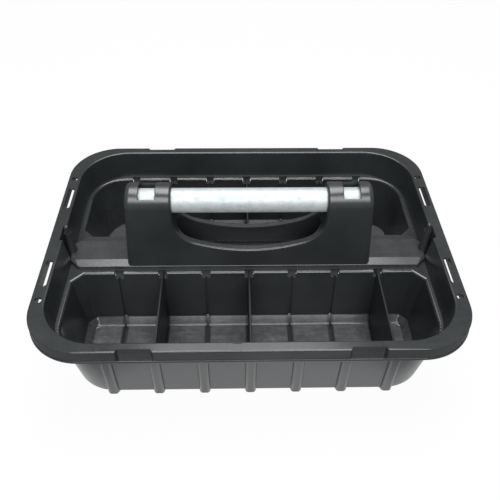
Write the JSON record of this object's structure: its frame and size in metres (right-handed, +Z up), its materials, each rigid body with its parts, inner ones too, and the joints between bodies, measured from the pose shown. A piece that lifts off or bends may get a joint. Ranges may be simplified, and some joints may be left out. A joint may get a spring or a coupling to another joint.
{
  "type": "tool storage caddy",
  "caption": "Open rectangular carrying tray with two troughs, lift-out dividers and a raised bridge handle with an aluminium tube grip.",
  "frame": {"origin": "on the table, under the middle of the tray", "axes": "+X along the handle tube, +Y to the back of the picture, +Z up"},
  "size_m": [0.4, 0.3, 0.1633],
  "materials": {
    "tray": "satin moulded",
    "handle_bridge": "satin moulded",
    "divider_front_left": "satin moulded",
    "divider_front_middle": "satin moulded",
    "divider_front_right": "satin moulded",
    "divider_rear": "satin moulded",
    "grip_tube": "satin",
    "bridge_screws": "zinc plated"
  },
  "bodies": {
    "tray": {"tray": "tray", "handle_bridge": "handle_bridge", "grip_tube": "grip_tube", "bridge_screws": "bridge_screws"},
    "divider_front_left": {"divider_front_left": "divider_front_left"},
    "divider_front_middle": {"divider_front_middle": "divider_front_middle"},
    "divider_front_right": {"divider_front_right": "divider_front_right"},
    "divider_rear": {"divider_rear": "divider_rear"}
  },
  "joints": [
    {"name": "lift_front_left", "type": "slide", "parent": "tray", "child": "divider_front_left", "axis": [0, 0, 1], "range_m": [0, 0.13]},
    {"name": "lift_front_middle", "type": "slide", "parent": "tray", "child": "divider_front_middle", "axis": [0, 0, 1], "range_m": [0, 0.13]},
    {"name": "lift_front_right", "type": "slide", "parent": "tray", "child": "divider_front_right", "axis": [0, 0, 1], "range_m": [0, 0.13]},
    {"name": "lift_rear", "type": "slide", "parent": "tray", "child": "divider_rear", "axis": [0, 0, 1], "range_m": [0, 0.13]}
  ]
}
